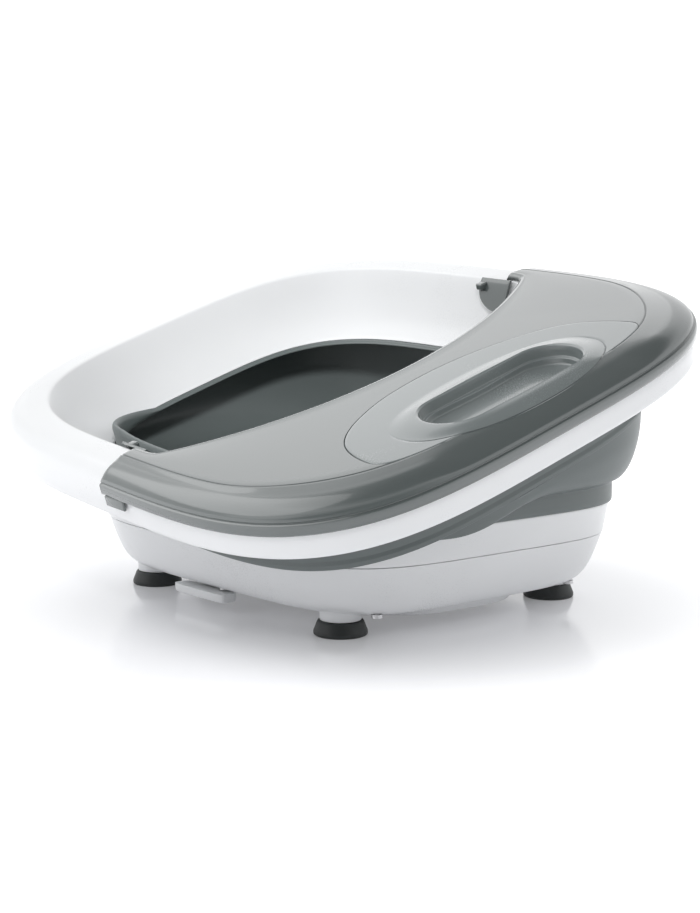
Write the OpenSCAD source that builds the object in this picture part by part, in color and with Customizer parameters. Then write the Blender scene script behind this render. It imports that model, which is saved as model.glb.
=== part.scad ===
// Collapsible foot spa basin, millimetres, +Z up, floor at z = 0.
// -Y is the toe end with the splash guard, +Y the heel end.
// The rim is stored tilted: its left side is folded down, its right side is up.

/* [Output] */
// node to draw, or "all"

/* [Base] */
// half width of the base at its top edge
base_hw = 139.8; // [120:0.1:160]
// half length of the base at its top edge
base_hl = 167.8; // [145:0.1:190]
// squareness of the base outline
base_n = 4.5; // [3:0.1:7]
// height of the base's top edge above the floor
base_top = 73; // [60:0.5:90]
// height of the seam between the pan and the band
seam_z = 51; // [40:0.5:60]
// height of the underside of the pan
pan_z = 14; // [10:0.5:24]
// top of the foot bath floor
floor_z = 47; // [40:0.5:55]

/* [Feet] */
// half spacing of the feet across the basin
foot_x = 96.3; // [70:0.1:115]
// half spacing of the feet along the basin
foot_y = 108.7; // [80:0.1:140]
// radius of a rubber foot at the floor
foot_r = 18; // [12:0.5:24]
// height of a rubber foot
foot_h = 10; // [6:0.5:16]
// radius of the post above each foot
post_r = 14; // [9:0.5:18]

/* [Rim] */
// half width of the rim at its lower edge
rim_hw = 200; // [170:0.5:230]
// half length of the rim at its lower edge
rim_hl = 234.5; // [200:0.5:270]
// squareness of the rim outline
rim_n = 3.6; // [2.5:0.1:6]
// how much wider the toe end is than the middle
rim_taper = 0.055; // [0:0.005:0.1]
// tilt of the rim as stored
tilt = 18.97; // [0:0.01:20]
// turn of the fold line away from the Y axis
fold_turn = 12.2; // [0:0.1:20]
// centre of the rim's lower edge, sideways
rim_x = -8.6; // [-30:0.1:30]
// centre of the rim's lower edge, lengthways
rim_y = 8.9; // [-30:0.1:30]
// centre of the rim's lower edge above the floor
rim_z = 139.15; // [110:0.05:170]

/* [Bellows] */
// inset of the stiff middle ring from the rim's lower edge
ring_inset = 33; // [26:0.5:45]
// depth of the stiff middle ring
ring_h = 27; // [15:0.5:40]
// wall of the soft bellows
skin = 0.9; // [0.8:0.1:2]
// height of the soft collar that stands on the base
collar_h = 14; // [8:0.5:22]

/* [Splash guard] */
// height of the guard's flat top above the rim's lower edge
guard_h = 37.4; // [35:0.1:45]
// height of the guard's lower edge above the rim's lower edge
guard_low = 17; // [10:0.5:25]
// radius of the guard's concave inner edge
arc_r = 305; // [250:1:450]
// sideways position of that arc's centre
arc_x = 5; // [-20:1:20]
// lengthways position of that arc's centre
arc_y = 222; // [180:1:360]
// how far toward the toe end the guard's left end stands
left_end = 5; // [0:1:12]
// how far toward the toe end the guard's right end stands
right_end = 22; // [0:1:24]
// wall of the guard
guard_t = 2.4; // [1.6:0.1:4]

/* [Handle slot] */
// sideways position of the slot's centre
slot_x = 5; // [-20:0.5:20]
// lengthways position of the slot's centre
slot_y = -180; // [-190:0.5:-150]
// radius of the slot's round ends
slot_r = 25; // [15:0.5:30]
// half distance between the slot's end centres
slot_c = 41; // [20:0.5:60]
// height of the pocket floor above the rim's lower edge
pocket_h = 27; // [20:0.5:32]

/* [Massage rollers] */
// largest radius of a roller
roller_r = 14; // [10:0.5:18]
// length of a roller
roller_l = 72; // [50:1:90]
// sideways position of each roller's centre
roller_x = 54; // [45:0.5:58]
// lengthways position of the rollers
roller_y = 22; // [-40:1:60]
// radius of a roller's axle
axle_r = 2.5; // [2:0.1:4]
// radial gap of a running fit
run_gap = 0.06; // [0.01:0.01:0.1]

/* [Power button] */
// radius of the toe button
button_r = 16; // [12:0.5:20]
// lengthways position of the toe button
button_y = -112; // [-130:1:-90]
// travel of the toe button
button_travel = 3; // [1:0.5:4]

/* [Massage motor] */
// radius of the motor can
motor_r = 12; // [9:0.5:14]
// length of the motor can
motor_l = 34; // [24:1:45]
// lengthways position of the motor
motor_y = 60; // [20:1:90]
// radius of the motor shaft
shaft_r = 1.5; // [1:0.1:2.5]
// radius of the off-centre weight
weight_r = 9; // [6:0.5:11]

/* [Cord gland] */
// radius of the opening for the power cord
gland_r = 3.4; // [2.5:0.1:5]
// sideways position of the gland
gland_x = 24; // [0:1:50]
// height of the gland above the floor
gland_z = 36; // [30:0.5:40]

/* [Hidden] */
// moves the middle of the stored shape's box onto the Z axis
shift_x = 13.4;
shift_y = -6.2;
// stations round each outline
stations = 72;
// what one pass round the rim or base is divided into
step_deg = 360 / stations;
gap = 0.35;
clip_len = 30;
motor_z = 31;
// lengthways places of the guard's stations along its straight sides
left_y = [left_end, 14, 26, 42, 60, 80, 100, 120];
right_y = [right_end, 29, 36, 48, 64, 82, 100, 120];
guard_corner = [for (a = [200 : 5 : 270]) a];
$fn = 64;

// ---- outlines ----

function side(v) = v < 0 ? -1 : 1;

function squircle(w, l, n, a) = [
  w * side(cos(a)) * pow(abs(cos(a)), 2 / n),
  l * side(sin(a)) * pow(abs(sin(a)), 2 / n)
];

// a point of the base at angle a, inset inwards by i, at height z
function base_pt(a, i, z) =
  let (p = squircle(base_hw - i, base_hl - i, base_n, a))
  [p.x, p.y, z];

// a point of the rim in its own level frame
function rim_pt(a, i, h) =
  let (p = squircle(rim_hw - i, rim_hl - i, rim_n, a))
  [p.x * (1 - rim_taper * p.y / (rim_hl - i)), p.y, h];

// from the rim's own frame to the stored, tilted place
function rim_to_world(p) =
  let (
    v = [sin(fold_turn), -cos(fold_turn), 0],
    q = p * cos(tilt) + cross(v, p) * sin(tilt) + v * (v * p) * (1 - cos(tilt))
  )
  q + [rim_x, rim_y, rim_z];

function mix(a, b, t) = a + (b - a) * t;

function clamp01(t) = min(max(t, 0), 1);

function smooth(t) =
  let (c = clamp01(t))
  c * c * (3 - 2 * c);

// ---- lofts ----

// closed band: rows of points that run round the outline, joined row to row and last to first
module band_loft(rows) {
  n = len(rows[0]);
  m = len(rows);
  pts = [for (r = rows) each r];
  faces = [
    for (j = [0 : m - 1], i = [0 : n - 1])
      let (
        a = j * n + i,
        b = j * n + (i + 1) % n,
        c = ((j + 1) % m) * n + (i + 1) % n,
        d = ((j + 1) % m) * n + i
      )
      each [[a, c, b], [a, d, c]]
  ];
  polyhedron(points = pts, faces = faces, convexity = 6);
}

// cup: the first row closes the underside and the last row closes the inside floor
module cup_loft(rows) {
  n = len(rows[0]);
  m = len(rows);
  pts = [for (r = rows) each r];
  walls = [
    for (j = [0 : m - 2], i = [0 : n - 1])
      let (
        a = j * n + i,
        b = j * n + (i + 1) % n,
        c = (j + 1) * n + (i + 1) % n,
        d = (j + 1) * n + i
      )
      each [[a, c, b], [a, d, c]]
  ];
  under = [for (i = [0 : n - 1]) i];
  inside = [for (i = [n - 1 : -1 : 0]) (m - 1) * n + i];
  polyhedron(points = pts, faces = concat(walls, [under], [inside]), convexity = 6);
}

// open sheet: each station is a closed profile whose second half runs back under the first half
module sheet_loft(profiles) {
  s = len(profiles);
  k = len(profiles[0]);
  half = k / 2;
  pts = [for (p = profiles) each p];
  walls = [
    for (i = [0 : s - 2], j = [0 : k - 1])
      let (
        a = i * k + j,
        b = (i + 1) * k + j,
        c = (i + 1) * k + (j + 1) % k,
        d = i * k + (j + 1) % k
      )
      each [[a, c, b], [a, d, c]]
  ];
  first = [
    for (j = [0 : half - 2])
      each [[j + 1, j, k - 1 - j], [j + 1, k - 1 - j, k - 2 - j]]
  ];
  e = (s - 1) * k;
  last = [
    for (j = [0 : half - 2])
      each [[e + j, e + j + 1, e + k - 2 - j], [e + j, e + k - 2 - j, e + k - 1 - j]]
  ];
  polyhedron(points = pts, faces = concat(walls, first, last), convexity = 8);
}

function base_rows(profile) = [
  for (p = profile) [for (k = [0 : stations - 1]) base_pt(k * step_deg, p[0], p[1])]
];

function rim_rows(profile) = [
  for (p = profile) [for (k = [0 : stations - 1]) rim_pt(k * step_deg, p[0], p[1])]
];

// ---- placing ----

module placed() {
  translate([shift_x, shift_y, 0]) children();
}

module rim_placed() {
  placed()
    translate([rim_x, rim_y, rim_z])
      rotate(a = tilt, v = [sin(fold_turn), -cos(fold_turn), 0])
        children();
}

module at_feet() {
  for (x = [-foot_x, foot_x], y = [-foot_y, foot_y])
    translate([x, y, 0]) children();
}

module along_x() {
  rotate([0, 90, 0]) children();
}

module stadium(r, c) {
  translate([-c, -r]) square([2 * c, 2 * r]);
  translate([-c, 0]) circle(r);
  translate([c, 0]) circle(r);
}

// pan-head screw with its head down: head from 0 to head_h, shank up to len
module screw_up(head_r, head_h, shank_r, len) {
  difference() {
    union() {
      cylinder(r = head_r, h = head_h);
      cylinder(r = shank_r, h = len);
    }
    for (a = [0, 90])
      rotate([0, 0, a])
        translate([-head_r * 0.6, -0.45, -1])
          cube([head_r * 1.2, 0.9, 1 + head_h * 0.5]);
  }
}

// ---- base ----

tub_boss = [for (x = [-1, 1], y = [-1, 0, 1]) [x * (y == 0 ? 112 : 88), y * (y == 0 ? 0 : 136)]];
cover_boss = [for (x = [-62, 62], y = [-92, 92]) [x, y]];

module base_pan() {
  color("white") placed() difference() {
    union() {
      cup_loft(base_rows([
        [40, pan_z], [29, pan_z + 0.6], [20, pan_z + 3.5], [14.5, pan_z + 8.5],
        [11, pan_z + 15], [8, pan_z + 23], [5.6, pan_z + 30.5], [3.9, seam_z - 0.2],
        [6.9, seam_z - 0.2], [8.8, pan_z + 30.5], [11.2, pan_z + 23.5], [14.3, pan_z + 16],
        [17.6, pan_z + 10.6], [22, pan_z + 6.6], [30, pan_z + 3.7], [40, pan_z + 3]
      ]));
      at_feet() translate([0, 0, foot_h]) cylinder(r = post_r, h = 10);
      for (p = tub_boss)
        translate([p.x, p.y, pan_z + 1]) cylinder(r = 5, h = 20);
      for (p = cover_boss)
        translate([p.x, p.y, pan_z + 1]) cylinder(r = 4.5, h = 6);
    }
    at_feet() translate([0, 0, foot_h - 1]) cylinder(r = 2.3, h = 9);
    for (p = tub_boss) {
      translate([p.x, p.y, pan_z - 1]) cylinder(r = 4.2, h = 5);
      translate([p.x, p.y, pan_z + 3]) cylinder(r = 2.2, h = 20);
    }
    for (p = cover_boss)
      translate([p.x, p.y, pan_z - 1]) cylinder(r = 1.8, h = 12);
    translate([gland_x, base_hl - 24, gland_z]) rotate([-90, 0, 0]) cylinder(r = 8.1, h = 30);
  }
}

module base_band() {
  color("white") placed() band_loft(base_rows([
    [3.3, seam_z + 0.4], [1.8, 62], [0.3, base_top - 1], [0.7, base_top], [3.1, base_top],
    [3.2, base_top - 2.8], [6, 58], [9.4, 55.5], [11.2, 46], [9.4, 46], [7.4, seam_z + 0.4]
  ]));
}

function cover_outline(w, l) = [
  for (k = [0 : stations - 1]) squircle(w, l, 3.2, k * step_deg)
];

module bottom_cover() {
  color("white") placed() difference() {
    union() {
      translate([0, 0, 8.6]) linear_extrude(pan_z - 8.8) polygon(cover_outline(78, 130));
      translate([0, 0, 7]) linear_extrude(2) polygon(cover_outline(74, 126));
      translate([-117, 17, 7.5]) linear_extrude(pan_z - 7.7) square([14, 60], center = true);
      translate([-94, 17, 10]) linear_extrude(pan_z - 10.2) square([40, 34], center = true);
    }
    difference() {
      translate([0, 0, 9.4]) linear_extrude(20) polygon(cover_outline(75.6, 127.6));
      for (p = cover_boss)
        translate([p.x, p.y, 8]) cylinder(r = 5.5, h = 20);
    }
    for (p = cover_boss) {
      translate([p.x, p.y, 5]) cylinder(r = 3.6, h = 5);
      translate([p.x, p.y, 5]) cylinder(r = 1.9, h = 20);
    }
    for (x = [-24 : 8 : 24])
      translate([x, 20, 5]) linear_extrude(20) stadium(1.6, 8);
  }
}

module cover_screws() {
  color("silver") placed()
    for (p = cover_boss)
      translate([p.x, p.y, 8]) screw_up(3.3, 1.8, 1.6, 12);
}

module foot_pads() {
  color("dimgray") placed() at_feet() difference() {
    rotate_extrude() polygon([
      [0, 0], [foot_r - 1, 0], [foot_r, 1], [foot_r, 2.6], [foot_r - 2.2, foot_h - 0.8],
      [foot_r - 3, foot_h - 0.1], [0, foot_h - 0.1]
    ]);
    translate([0, 0, -1]) cylinder(r = 5, h = 5);
    translate([0, 0, -1]) cylinder(r = 2.3, h = foot_h + 2);
  }
}

module foot_screws() {
  color("silver") placed() at_feet()
    translate([0, 0, 1.6]) screw_up(4.4, 2.3, 2, 15);
}

module tub() {
  color("gray") placed() difference() {
    union() {
      cup_loft(base_rows([
        [36, floor_z - 3], [25, floor_z - 2.4], [18.5, floor_z + 1.5], [15.6, 56],
        [13.6, 66], [12.9, base_top - 2.6], [3.6, base_top - 2.6], [3.6, base_top],
        [13.8, base_top], [15.8, 66], [18, 57], [20.8, floor_z + 3.4],
        [26.5, floor_z + 0.6], [36, floor_z]
      ]));
      for (p = tub_boss)
        translate([p.x, p.y, 36]) cylinder(r = 5, h = floor_z - 37.5);
    }
    for (p = tub_boss)
      translate([p.x, p.y, 30]) cylinder(r = 1.9, h = 14.5);
    translate([0, button_y, 30]) cylinder(r = 12.4, h = 30);
    for (s = [-1, 1], t = [-1, 1])
      translate([s * roller_x + t * (roller_l / 2 + 7), roller_y, 30])
        cylinder(r = 1.9, h = 30);
  }
}

module tub_screws() {
  color("silver") placed()
    for (p = tub_boss)
      translate([p.x, p.y, pan_z + 0.5]) screw_up(3.8, 2.3, 1.7, 28);
}

// ---- heating, massage and control, under the floor ----

module heater_plate() {
  color("silver") placed() translate([0, -30, floor_z - 3.1]) difference() {
    union() {
      translate([-75, -35, -2]) cube([150, 70, 2]);
      for (y = [-20, 20])
        translate([-66, y, -2]) along_x() cylinder(r = 3.4, h = 132);
    }
    translate([-80, -40, 0]) cube([160, 80, 10]);
  }
}

module thermal_cutout() {
  color("black") placed() translate([0, -30, floor_z - 5.2]) {
    translate([0, 0, -6]) cylinder(r = 8, h = 6);
    for (x = [-1, 1])
      translate([x * 5 - 1, -13, -4.5]) cube([2, 26, 0.8]);
  }
}

module control_board() {
  color("green") placed() translate([-52, 72, 0]) {
    translate([-36, -26, 22]) cube([72, 52, 1.6]);
    for (x = [-30, 30], y = [-20, 20])
      translate([x, y, pan_z + 3]) cylinder(r = 3, h = 6);
    translate([-30, -18, 23]) cube([22, 18, 15]);
    translate([2, -16, 23]) cube([16, 12, 11]);
    translate([8, 12, 23]) cylinder(r = 6, h = 13);
    translate([-20, 12, 23]) cylinder(r = 4, h = 10);
  }
}

module motor_can() {
  color("silver") placed() translate([20, motor_y, motor_z]) along_x() difference() {
    union() {
      cylinder(r = motor_r, h = motor_l);
      translate([0, 0, -2.5]) cylinder(r = 4, h = 3);
    }
    translate([0, 0, -4]) cylinder(r = shaft_r + run_gap, h = motor_l - 4);
  }
}

module motor_clamp() {
  color("white") placed() translate([26, motor_y, 0]) difference() {
    translate([0, -20, pan_z + 3]) cube([20, 40, motor_z - pan_z - 3 + 4]);
    translate([-1, 0, motor_z]) along_x() cylinder(r = motor_r + 0.1, h = 22);
    for (y = [-16.5, 16.5])
      translate([10, y, pan_z]) cylinder(r = 1.6, h = 40);
  }
}

module shaft_weight() {
  color("silver") placed() translate([20, motor_y, motor_z]) along_x() {
    translate([0, 0, -14]) cylinder(r = shaft_r, h = 14 + motor_l - 10);
    translate([0, 0, -12]) cylinder(r = 3, h = 8);
    translate([0, 0, -12]) intersection() {
      cylinder(r = weight_r, h = 8);
      translate([0, -weight_r, -1]) cube([weight_r, 2 * weight_r, 10]);
    }
  }
}

// ---- toe button ----

module button_cap() {
  color("lightgray") placed() translate([0, button_y, 0]) {
    translate([0, 0, floor_z + button_travel + 0.4]) rotate_extrude() polygon([
      [0, 0], [button_r, 0], [button_r, 2], [button_r - 2, 4], [button_r - 7, 5.4], [0, 6]
    ]);
    translate([0, 0, floor_z - 8]) cylinder(r = 6, h = 8 + button_travel + 1);
  }
}

module button_boot() {
  color("dimgray") placed() translate([0, button_y, 0]) difference() {
    union() {
      translate([0, 0, floor_z - 4.6]) cylinder(r = 12.2, h = 4.8);
      translate([0, 0, floor_z - 6]) cylinder(r = 15, h = 2.8);
    }
    translate([0, 0, floor_z - 10]) cylinder(r = 6 + run_gap, h = 20);
  }
}

module button_switch() {
  color("black") placed() translate([0, button_y, 0]) difference() {
    union() {
      translate([-10, -8, pan_z + 3]) cube([20, 16, 16]);
      translate([-14, -3, pan_z + 3]) cube([28, 6, 3]);
      translate([0, 0, pan_z + 18.5]) cylinder(r = 3, h = 2.3);
    }
    for (x = [-12, 12])
      translate([x, 0, pan_z]) cylinder(r = 1.2, h = 10);
  }
}

// ---- massage rollers ----

axle_z = floor_z + roller_r + 2;

module roller_cradles() {
  color("lightgray") placed()
    for (s = [-1, 1], t = [-1, 1])
      translate([s * roller_x + t * (roller_l / 2 + 3), roller_y, 0]) difference() {
        union() {
          translate([-2, -9, floor_z]) cube([4, 18, axle_z - floor_z]);
          translate([-2, 0, axle_z]) along_x() cylinder(r = 9, h = 4);
          translate([t > 0 ? 0 : -8, -7, floor_z]) cube([8, 14, 3]);
          translate([t * 4, 0, floor_z - 6]) cylinder(r = 1.7, h = 7);
        }
        translate([-5, 0, axle_z]) along_x() cylinder(r = axle_r + 0.02, h = 10);
      }
}

module roller_axles() {
  color("silver") placed()
    for (s = [-1, 1])
      translate([s * roller_x - roller_l / 2 - 6.5, roller_y, axle_z])
        along_x() cylinder(r = axle_r, h = roller_l + 13);
}

module roller(x) {
  color("white") placed() translate([x - roller_l / 2, roller_y, axle_z]) along_x() difference() {
    union() {
      cylinder(r = roller_r - 4, h = roller_l);
      for (k = [0 : 5])
        translate([0, 0, 5 + k * (roller_l - 10) / 5])
          rotate_extrude() polygon([
            [1, -4], [roller_r - 4.2, -4], [roller_r - 1, -2], [roller_r, 0],
            [roller_r - 1, 2], [roller_r - 4.2, 4], [1, 4]
          ]);
    }
    translate([0, 0, -1]) cylinder(r = axle_r + run_gap, h = roller_l + 2);
  }
}

module roller_left() {
  roller(-roller_x);
}

module roller_right() {
  roller(roller_x);
}

// ---- cord gland ----

module cord_gland() {
  color("dimgray") placed()
    translate([gland_x, base_hl - 22, gland_z]) rotate([-90, 0, 0]) difference() {
      union() {
        cylinder(r = 7.9, h = 18);
        translate([0, 0, 17.4]) cylinder(r = 10, h = 2.4);
        translate([0, 0, 19]) cylinder(r = 6.4, h = 6);
      }
      translate([0, 0, -1]) cylinder(r = gland_r, h = 30);
    }
}

module gland_nut() {
  color("dimgray") placed()
    translate([gland_x, base_hl - 22, gland_z]) rotate([-90, 0, 0]) difference() {
      translate([0, 0, 0.5]) cylinder(r = 10.6, h = 4, $fn = 6);
      translate([0, 0, -1]) cylinder(r = 8, h = 8);
    }
}

// ---- bellows ----

// top of the lower bellows at angle a: under the middle ring's lower edge, in the stored place
function ring_foot(a) =
  rim_to_world(rim_pt(a, ring_inset + 1.5, -2.3 - ring_h));

// middle line of the lower bellows in the plane of one station, as [outwards, height]
function bellows_line(rt, zt) =
  let (
    w = smooth((zt - base_top + 2) / 48),
    z0 = base_top + 0.8,
    c = base_top + collar_h,
    folded = [
      [-13.4, z0], [-22, z0 + 0.8], [-27, z0 + 6], [-27, z0 + 12], [-23, z0 + 13],
      [-20.6, z0 + 8], [-19, z0 + 2.4], [-15, z0 + 1.1], [2, z0], [rt - 4.4, z0 - 3],
      [rt - 3.2, zt - 0.3], [rt, zt]
    ],
    raised = [
      [-13.4, z0], [-9.5, z0], [-5.5, z0], [-2, z0], [0.9, z0 + 0.8], [1.5, mix(z0, c, 0.4)],
      [1.5, mix(z0, c, 0.8)], [1.9, c + 0.4],
      [mix(2, rt, 0.36), mix(c, zt, 0.1)], [mix(2, rt, 0.66), mix(c, zt, 0.27)],
      [mix(2, rt, 0.93), mix(c, zt, 0.62)], [rt, zt]
    ]
  )
  [for (k = [0 : len(folded) - 1]) mix(folded[k], raised[k], w)];

// the line above given a wall: outer side first, then the inner side back again
function thickened(line, t) =
  let (
    n = len(line),
    side_step = [
      for (k = [0 : n - 1])
        let (d = line[min(k + 1, n - 1)] - line[max(k - 1, 0)])
        [d.y, -d.x] / max(norm(d), 0.001) * t / 2
    ]
  )
  concat(
    [for (k = [0 : n - 1]) line[k] + (k == n - 1 ? [t / 2, 0] : side_step[k])],
    [for (k = [n - 1 : -1 : 0]) line[k] - (k == n - 1 ? [t / 2, 0] : side_step[k])]
  );

function bellows_station(a) =
  let (
    b = base_pt(a, 0, 0),
    t = ring_foot(a),
    out = [t.x - b.x, t.y - b.y],
    reach = norm(out),
    dir = out / reach
  )
  [for (q = thickened(bellows_line(reach, t.z), skin)) [b.x + dir.x * q.x, b.y + dir.y * q.x, q.y]];

module lower_bellows() {
  loops = [for (k = [0 : stations - 1]) bellows_station(k * step_deg)];
  color("gray") placed()
    band_loft([for (j = [0 : len(loops[0]) - 1]) [for (k = [0 : stations - 1]) loops[k][j]]]);
}

module middle_ring() {
  i = ring_inset;
  color("gray") rim_placed() band_loft(rim_rows([
    [i - 0.8, -1.5 - ring_h], [i - 0.8, -ring_h + 2], [i, -ring_h + 3.5], [i, -1.5],
    [i + 3, -1.5], [i + 3, -1.5 - ring_h]
  ]));
}

// how far the upper bellows can hang at angle a: 0 where the base's edge pushes it up, 1 where it is free
function hang(a) = smooth((ring_foot(a).z - 76) / 40);

function fold_line(w, t) =
  let (
    i = ring_inset + 3 + gap,
    low = mix(-7, -30, w),
    top = mix(-2, -9, w)
  )
  [
    [i, low + 1], [i, low + 1 + t], [i + 12.6 - t, low - 2 + t], [i + 12.6 - t, top - t],
    [i + 9 + t, top - t], [i + 9 + t, low + 3], [i + 4.4, low + 3], [i + 4.4, 1.6],
    [i + 4.4 + t, 1.6], [i + 4.4 + t, low + 3 + t], [i + 9, low + 3 + t], [i + 9, top],
    [i + 12.6, top], [i + 12.6, low - 2 - t * 0.4]
  ];

module upper_bellows() {
  lines = [for (k = [0 : stations - 1]) fold_line(hang(k * step_deg), skin)];
  color("gray") rim_placed() band_loft([
    for (j = [0 : len(lines[0]) - 1]) [
      for (k = [0 : stations - 1])
        rim_pt(k * step_deg, lines[k][j][0], lines[k][j][1])
    ]
  ]);
}

// ---- rim ----

// the crest is lowered at the toe end, where the handle pocket sits under the guard
function saddle(a) =
  let (p = rim_pt(a, 0, 0))
  p.y > 0 ? 0 : smooth((118 - abs(p.x - slot_x)) / 40);

function rim_line() = [
  [0, 0], [-0.6, 6], [-0.5, 13], [0.7, 19], [3.7, 26], [8.6, 31], [15, 33.2], [23, 33.2],
  [30.5, 30.8], [37, 24.6], [45, 11], [54, -1.6], [66, -14],
  [63.8, -14.6], [51.2, -3.6], [42.4, 9.6], [34.8, 22.4], [29, 28.2], [22.6, 30.6], [16, 30.6],
  [10.6, 28.8], [6.2, 24.4], [3.3, 18], [2.1, 12], [2, 6], [2.6, 0]
];

// how far the saddle lowers each point of the line above
function saddle_drop(i, h) = 12.5 * smooth((i - 3) / 12) * smooth((h - 8) / 16);

module rim_shell() {
  line = rim_line();
  band_loft([
    for (p = line) [
      for (k = [0 : stations - 1])
        let (a = k * step_deg)
        rim_pt(a, p[0], p[1] - saddle(a) * saddle_drop(p[0], p[1]))
    ]
  ]);
}

rim_boss = [for (a = [15, 40, 65, 90, 115, 140, 165, 195, 220, 320, 345]) rim_pt(a, 24, 0)];

module rim_frame() {
  color("white") rim_placed() difference() {
    union() {
      rim_shell();
      for (p = rim_boss)
        translate([p.x, p.y, 5.2]) cylinder(r = 4, h = 26.6);
    }
    for (p = rim_boss)
      translate([p.x, p.y, 4]) cylinder(r = 1.7, h = 18);
  }
}

module rim_retainer() {
  i = 18;
  color("gray") rim_placed() difference() {
    band_loft(rim_rows([[i, 2.2], [i, 5], [ring_inset + 9.6, 5], [ring_inset + 11, 2.2]]));
    for (p = rim_boss)
      translate([p.x, p.y, 0]) cylinder(r = 1.9, h = 8);
  }
}

module rim_screws() {
  color("silver") rim_placed()
    for (p = rim_boss)
      translate([p.x, p.y, 0.3]) screw_up(3.4, 1.8, 1.5, 18);
}

// ---- splash guard ----

function half_angles(side_y) = concat(
  [for (y = side_y) 180 + asin(pow(y / rim_hl, rim_n / 2))],
  guard_corner
);
left_angles = half_angles(left_y);
right_angles = half_angles(right_y);
guard_angles = concat(left_angles, [for (k = [len(right_angles) - 2 : -1 : 0]) 540 - right_angles[k]]);

function arc_line(x) = arc_y - sqrt(arc_r * arc_r - (x - arc_x) * (x - arc_x));

// inner edge of the guard at station k from one end: beside the crest, then along the arc
function inner_half(angles, side, k) =
  let (p = rim_pt(angles[k], 30, 0))
  k < 3 ? [side * abs(p.x), p.y] :
  let (x = mix(side * 169, 0, (k - 2) / (len(angles) - 3)))
  [x, arc_line(x)];

function inner_edge(k) =
  let (m = len(left_angles) - 1)
  k <= m ? inner_half(left_angles, -1, k) : inner_half(right_angles, 1, 2 * m - k);

function guard_profile(k) =
  let (
    a = guard_angles[k],
    m = len(left_angles) - 1,
    e = min(k, 2 * m - k),
    e_in = inner_edge(k),
    p = rim_pt(a, 0, 0),
    front = smooth((-p.y - 120) / 90),
    c = mix(23.5, 45, front),
    crease = rim_pt(a, c, 0),
    to_in = e_in - [crease.x, crease.y],
    reach = max(norm(to_in), 0.01),
    back = -to_in / reach,
    lip = e < 3 ? 33.4 : (e < 5 ? 32 : 29.5),
    on = function (t, h, off) [crease.x + to_in.x * t + back.x * off, crease.y + to_in.y * t + back.y * off, h],
    outer = [
      rim_pt(a, -3.8, guard_low), rim_pt(a, -3.8, guard_low + 7.4), rim_pt(a, -2.4, guard_low + 8.4),
      rim_pt(a, -0.9, guard_low + 12), rim_pt(a, 2.8, guard_low + 16.2),
      rim_pt(a, 9, guard_low + 19), rim_pt(a, mix(14, 24, front), guard_low + 20.1),
      rim_pt(a, c, guard_h),
      on(0.5, guard_h + 0.3, 0), on(1, guard_h, 1.6), on(1, guard_h - 1.6, 0), on(1, lip, 0)
    ],
    under = [
      on(1, lip, 2), on(1, guard_h - 2.4, 2), on(1, guard_h - 2.6, 3),
      on(0.5, guard_h - guard_t + 0.3, 0), rim_pt(a, c, guard_h - guard_t),
      rim_pt(a, mix(14.4, 24, front), guard_low + 17.6), rim_pt(a, 10, guard_low + 16.7),
      rim_pt(a, 4.9, guard_low + 14.2), rim_pt(a, 1.5, guard_low + 11), rim_pt(a, -0.9, guard_low + 7.4),
      rim_pt(a, -1.3, guard_low + 5), rim_pt(a, -1.3, guard_low)
    ]
  )
  concat(outer, under);

module splash_guard() {
  color("darkgray") rim_placed() difference() {
    sheet_loft([for (k = [0 : len(guard_angles) - 1]) guard_profile(k)]);
    translate([slot_x, slot_y, 30]) linear_extrude(20) stadium(slot_r + 2.2, slot_c);
  }
}

function lens_outline(w, l) = [
  for (k = [0 : 47])
    let (p = squircle(w, l, 2.4, k * 7.5))
    [p.x, max(p.y, -14)]
];

module handle_pocket() {
  color("lightgray") rim_placed() translate([slot_x, slot_y, 0]) difference() {
    union() {
      translate([0, 0, pocket_h - 1.8]) linear_extrude(13) stadium(slot_r + 1.8, slot_c);
      translate([0, 0, guard_h + 0.6]) linear_extrude(2.6) stadium(slot_r + 13, slot_c);
      translate([1, -5, guard_h + 0.6]) linear_extrude(1.4) polygon(lens_outline(124, 74));
    }
    translate([0, 0, pocket_h]) linear_extrude(30) stadium(slot_r, slot_c);
  }
}

// one end clip on the +X side: a tab that hangs inside the wall, up to heel_y lengthways
module end_tab(heel_y) {
  x0 = rim_hw * (1 - rim_taper * heel_y / rim_hl) + 0.4;
  translate([0, heel_y, 0]) rotate([90, 0, 0]) linear_extrude(clip_len) polygon([
    [x0 - 32.3, 33.1], [x0 - 38.5, 25.8], [x0 - 46.5, 11.7], [x0 - 48.9, 12.1],
    [x0 - 41, 26.2], [x0 - 35.1, 33.1]
  ]);
  translate([x0 - 49.5, heel_y - 8, 21]) cube([7, 6, 4]);
}

// lug that hangs outside the rim, on the +X side
module end_lug(heel_y) {
  x0 = rim_hw * (1 + rim_taper * (24 - heel_y) / rim_hl) + 1.6;
  translate([x0, heel_y - 24, guard_low - 8.2]) cube([2.2, 24, 8]);
}

module guard_clips() {
  color("darkgray") rim_placed()
    for (s = [0, 1])
      mirror([s, 0, 0]) {
        end_y = s == 1 ? left_end : right_end;
        end_tab(25 - end_y);
        end_lug(-end_y - 4);
      }
}

module guard_pads() {
  color("dimgray") rim_placed()
    for (a = [195, 210, 330, 345])
      translate(rim_pt(a, 19, 33.25)) cylinder(r = 3.2, h = 1.1);
}

base_pan();
base_band();
bottom_cover();
cover_screws();
foot_pads();
foot_screws();
tub();
tub_screws();
heater_plate();
thermal_cutout();
control_board();
motor_can();
motor_clamp();
shaft_weight();
button_cap();
button_boot();
button_switch();
roller_cradles();
roller_axles();
roller_left();
roller_right();
cord_gland();
gland_nut();
lower_bellows();
middle_ring();
upper_bellows();
rim_frame();
rim_retainer();
rim_screws();
splash_guard();
handle_pocket();
guard_clips();
guard_pads();
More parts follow.
